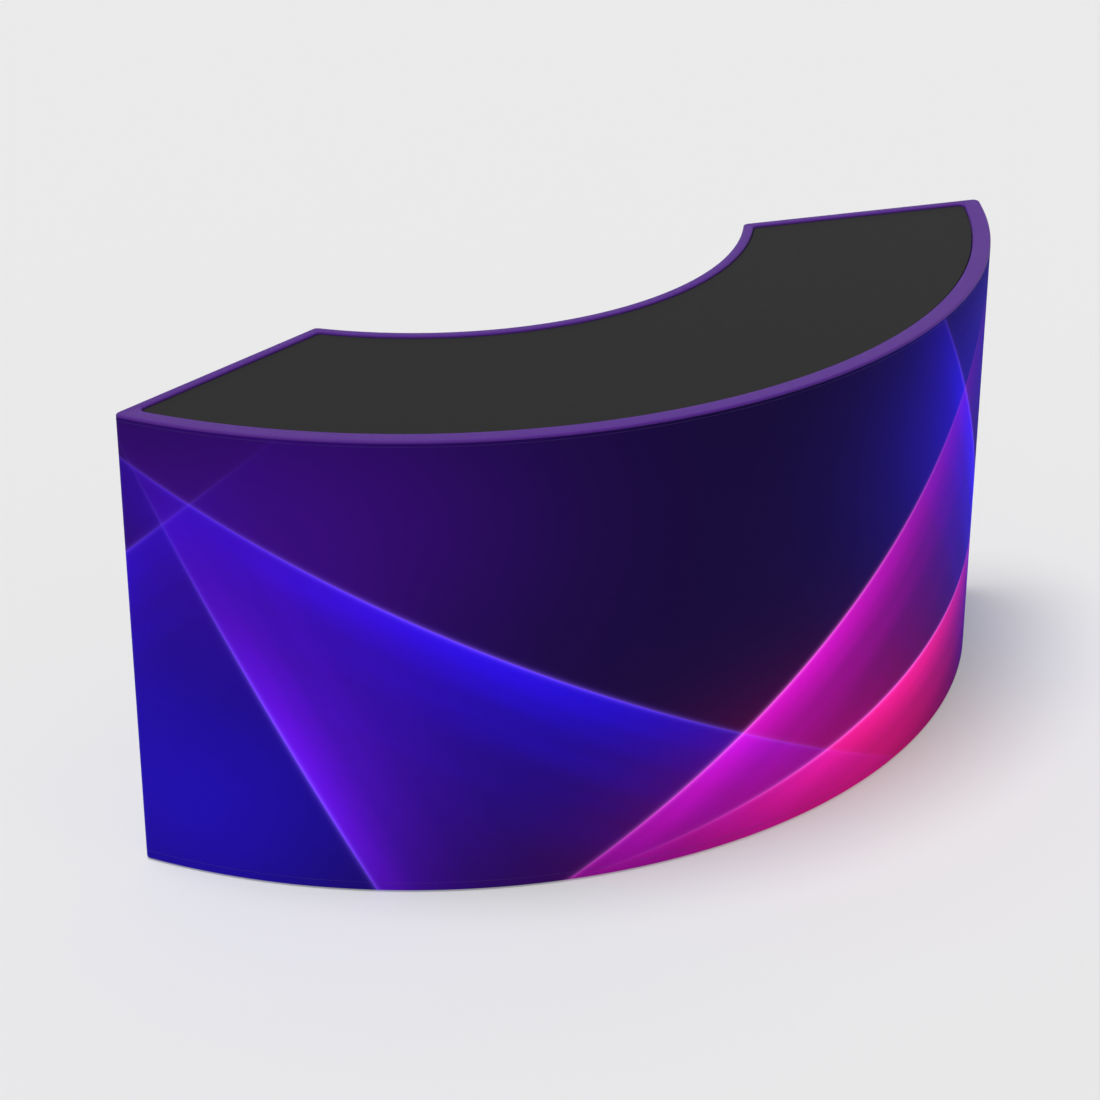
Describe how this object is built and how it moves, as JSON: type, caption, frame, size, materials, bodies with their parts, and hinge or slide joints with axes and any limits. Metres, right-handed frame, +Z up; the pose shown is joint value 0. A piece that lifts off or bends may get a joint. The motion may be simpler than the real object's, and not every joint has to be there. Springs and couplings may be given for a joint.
{
  "type": "trade show counter",
  "caption": "Curved backlit counter: stretched printed cover over a tube frame, plain border round a dark recessed top, zip and power inlet on the staff side.",
  "frame": {"origin": "on the floor, at the middle of the counter's width and depth", "axes": "+X to the visitor's right along the counter, +Y from the visitors to the staff, +Z up"},
  "size_m": [2.1946, 0.8087, 1],
  "materials": {
    "frame_aluminium": "extruded, satin anodised",
    "connector_casting": "cast, bead blasted",
    "plate_steel": "zinc plated",
    "button_steel": "bright",
    "foot_nylon": "moulded black",
    "pad_rubber": "matt",
    "top_laminate": "matt dark laminate on fibreboard",
    "front_print": "backlit dye print on stretch polyester",
    "plain_cover": "plain stretch polyester",
    "zip_tape": "woven tape",
    "zip_coil": "nylon coil",
    "zip_metal": "nickel plated",
    "led_board": "white solder mask",
    "led_lens": "clear moulded lens",
    "power_case": "powder coat",
    "bezel_plastic": "fine moulded texture",
    "inlet_plastic": "moulded black",
    "rocker_plastic": "moulded black"
  },
  "bodies": {
    "frame": {"bottom_connector_front_centre": "connector_casting", "bottom_connector_front_left": "connector_casting", "bottom_connector_front_right": "connector_casting", "bottom_connector_rear_left": "connector_casting", "bottom_connector_rear_right": "connector_casting", "bottom_end_rail_left": "frame_aluminium", "bottom_end_rail_right": "frame_aluminium", "bottom_inner_rail": "frame_aluminium", "bottom_outer_rail_left": "frame_aluminium", "bottom_outer_rail_right": "frame_aluminium", "brace_plates": "plate_steel", "button_springs": "button_steel", "countertop_pads": "pad_rubber", "end_panel_left": "front_print", "end_panel_right": "front_print", "frame_screws": "plate_steel", "front_graphic": "front_print", "inlet_socket": "inlet_plastic", "led_lenses": "led_lens", "led_strips": "led_board", "power_bezel": "bezel_plastic", "power_box": "power_case", "rear_panel": "plain_cover", "top_border": "plain_cover", "top_brace_left_end": "frame_aluminium", "top_brace_left_middle": "frame_aluminium", "top_brace_right_end": "frame_aluminium", "top_brace_right_middle": "frame_aluminium", "top_connector_front_centre": "connector_casting", "top_connector_front_left": "connector_casting", "top_connector_front_right": "connector_casting", "top_connector_rear_left": "connector_casting", "top_connector_rear_right": "connector_casting", "top_end_rail_left": "frame_aluminium", "top_end_rail_right": "frame_aluminium", "top_inner_rail": "frame_aluminium", "top_outer_rail_left": "frame_aluminium", "top_outer_rail_right": "frame_aluminium", "upright_front_centre": "frame_aluminium", "upright_front_left": "frame_aluminium", "upright_front_right": "frame_aluminium", "upright_rear_left": "frame_aluminium", "upright_rear_right": "frame_aluminium", "zip_chains": "zip_coil", "zip_tapes": "zip_tape"},
    "foot_front_left": {"foot_front_left": "foot_nylon"},
    "foot_front_centre": {"foot_front_centre": "foot_nylon"},
    "foot_front_right": {"foot_front_right": "foot_nylon"},
    "foot_rear_left": {"foot_rear_left": "foot_nylon"},
    "foot_rear_right": {"foot_rear_right": "foot_nylon"},
    "snap_button_front_left": {"snap_button_front_left": "button_steel"},
    "snap_button_front_centre": {"snap_button_front_centre": "button_steel"},
    "snap_button_front_right": {"snap_button_front_right": "button_steel"},
    "snap_button_rear_left": {"snap_button_rear_left": "button_steel"},
    "snap_button_rear_right": {"snap_button_rear_right": "button_steel"},
    "countertop": {"countertop_panel": "top_laminate"},
    "zip_slider": {"zip_slider": "zip_metal"},
    "zip_pull": {"zip_pull": "zip_metal"},
    "rocker_switch": {"rocker_switch": "rocker_plastic"}
  },
  "joints": [
    {"name": "countertop_lift", "type": "slide", "parent": "frame", "child": "countertop", "axis": [0, 0, 1], "range_m": [0, 0.15]},
    {"name": "foot_front_left_level", "type": "slide", "parent": "frame", "child": "foot_front_left", "axis": [0, 0, 1], "range_m": [-0.012, 0]},
    {"name": "foot_front_centre_level", "type": "slide", "parent": "frame", "child": "foot_front_centre", "axis": [0, 0, 1], "range_m": [-0.012, 0]},
    {"name": "foot_front_right_level", "type": "slide", "parent": "frame", "child": "foot_front_right", "axis": [0, 0, 1], "range_m": [-0.012, 0]},
    {"name": "foot_rear_left_level", "type": "slide", "parent": "frame", "child": "foot_rear_left", "axis": [0, 0, 1], "range_m": [-0.012, 0]},
    {"name": "foot_rear_right_level", "type": "slide", "parent": "frame", "child": "foot_rear_right", "axis": [0, 0, 1], "range_m": [-0.012, 0]},
    {"name": "snap_button_front_left_press", "type": "slide", "parent": "frame", "child": "snap_button_front_left", "axis": [0.8594, 0.5112, 0], "range_m": [-0.0055, 0], "stiffness_N_per_m": 800, "deforming": ["button_springs"]},
    {"name": "snap_button_front_centre_press", "type": "slide", "parent": "frame", "child": "snap_button_front_centre", "axis": [0, 1, 0], "range_m": [-0.0055, 0], "stiffness_N_per_m": 800, "deforming": ["button_springs"]},
    {"name": "snap_button_front_right_press", "type": "slide", "parent": "frame", "child": "snap_button_front_right", "axis": [-0.8594, 0.5112, 0], "range_m": [-0.0055, 0], "stiffness_N_per_m": 800, "deforming": ["button_springs"]},
    {"name": "snap_button_rear_left_press", "type": "slide", "parent": "frame", "child": "snap_button_rear_left", "axis": [-0.7588, -0.6513, 0], "range_m": [-0.0055, 0], "stiffness_N_per_m": 800, "deforming": ["button_springs"]},
    {"name": "snap_button_rear_right_press", "type": "slide", "parent": "frame", "child": "snap_button_rear_right", "axis": [0.7588, -0.6513, 0], "range_m": [-0.0055, 0], "stiffness_N_per_m": 800, "deforming": ["button_springs"]},
    {"name": "zip_slide", "type": "slide", "parent": "frame", "child": "zip_slider", "axis": [0, 0, 1], "range_m": [-0.868, 0]},
    {"name": "zip_pull_hinge", "type": "hinge", "parent": "zip_slider", "child": "zip_pull", "pos_m": [-0.43989, 0.30249, 0.934], "axis": [0.788, -0.6157, 0], "range_deg": [0, 165]},
    {"name": "rocker_tip", "type": "hinge", "parent": "frame", "child": "rocker_switch", "pos_m": [-0.024, 0.14153, 0.064], "axis": [1, 0, 0], "range_deg": [-20, 0]}
  ]
}
